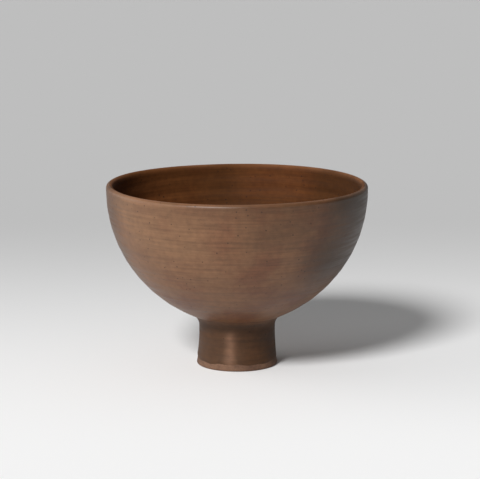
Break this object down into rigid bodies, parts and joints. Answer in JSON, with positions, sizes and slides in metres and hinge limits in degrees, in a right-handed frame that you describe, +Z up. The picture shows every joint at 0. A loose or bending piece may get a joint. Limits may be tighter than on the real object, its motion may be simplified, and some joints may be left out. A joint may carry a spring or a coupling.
{
  "type": "footed bowl",
  "caption": "Round deep bowl of burnished smoke-fired clay on a tall hollow foot ring, for serving or display.",
  "frame": {"origin": "on the bowl's axis at the level of the standing ring", "axes": "+Z up along the bowl's axis. The bowl is round, so -Y is only the side that the picture shows"},
  "size_m": [0.1506, 0.1506, 0.1058],
  "materials": {
    "burnished_slip": "burnished terra sigillata slip, smoke clouded",
    "smoked_slip": "burnished terra sigillata slip, darkened by smoke",
    "bare_clay": "bare fired clay, matt",
    "joint_clay": "fired slip and worked-in clay, matt"
  },
  "bodies": {
    "root": {"bowl": "bare_clay", "foot": "bare_clay", "luting_slip": "joint_clay", "outer_coil": "joint_clay", "inner_coil": "joint_clay", "inner_slip_coat": "smoked_slip", "outer_slip_coat": "burnished_slip", "foot_slip_coat": "burnished_slip"}
  },
  "joints": []
}
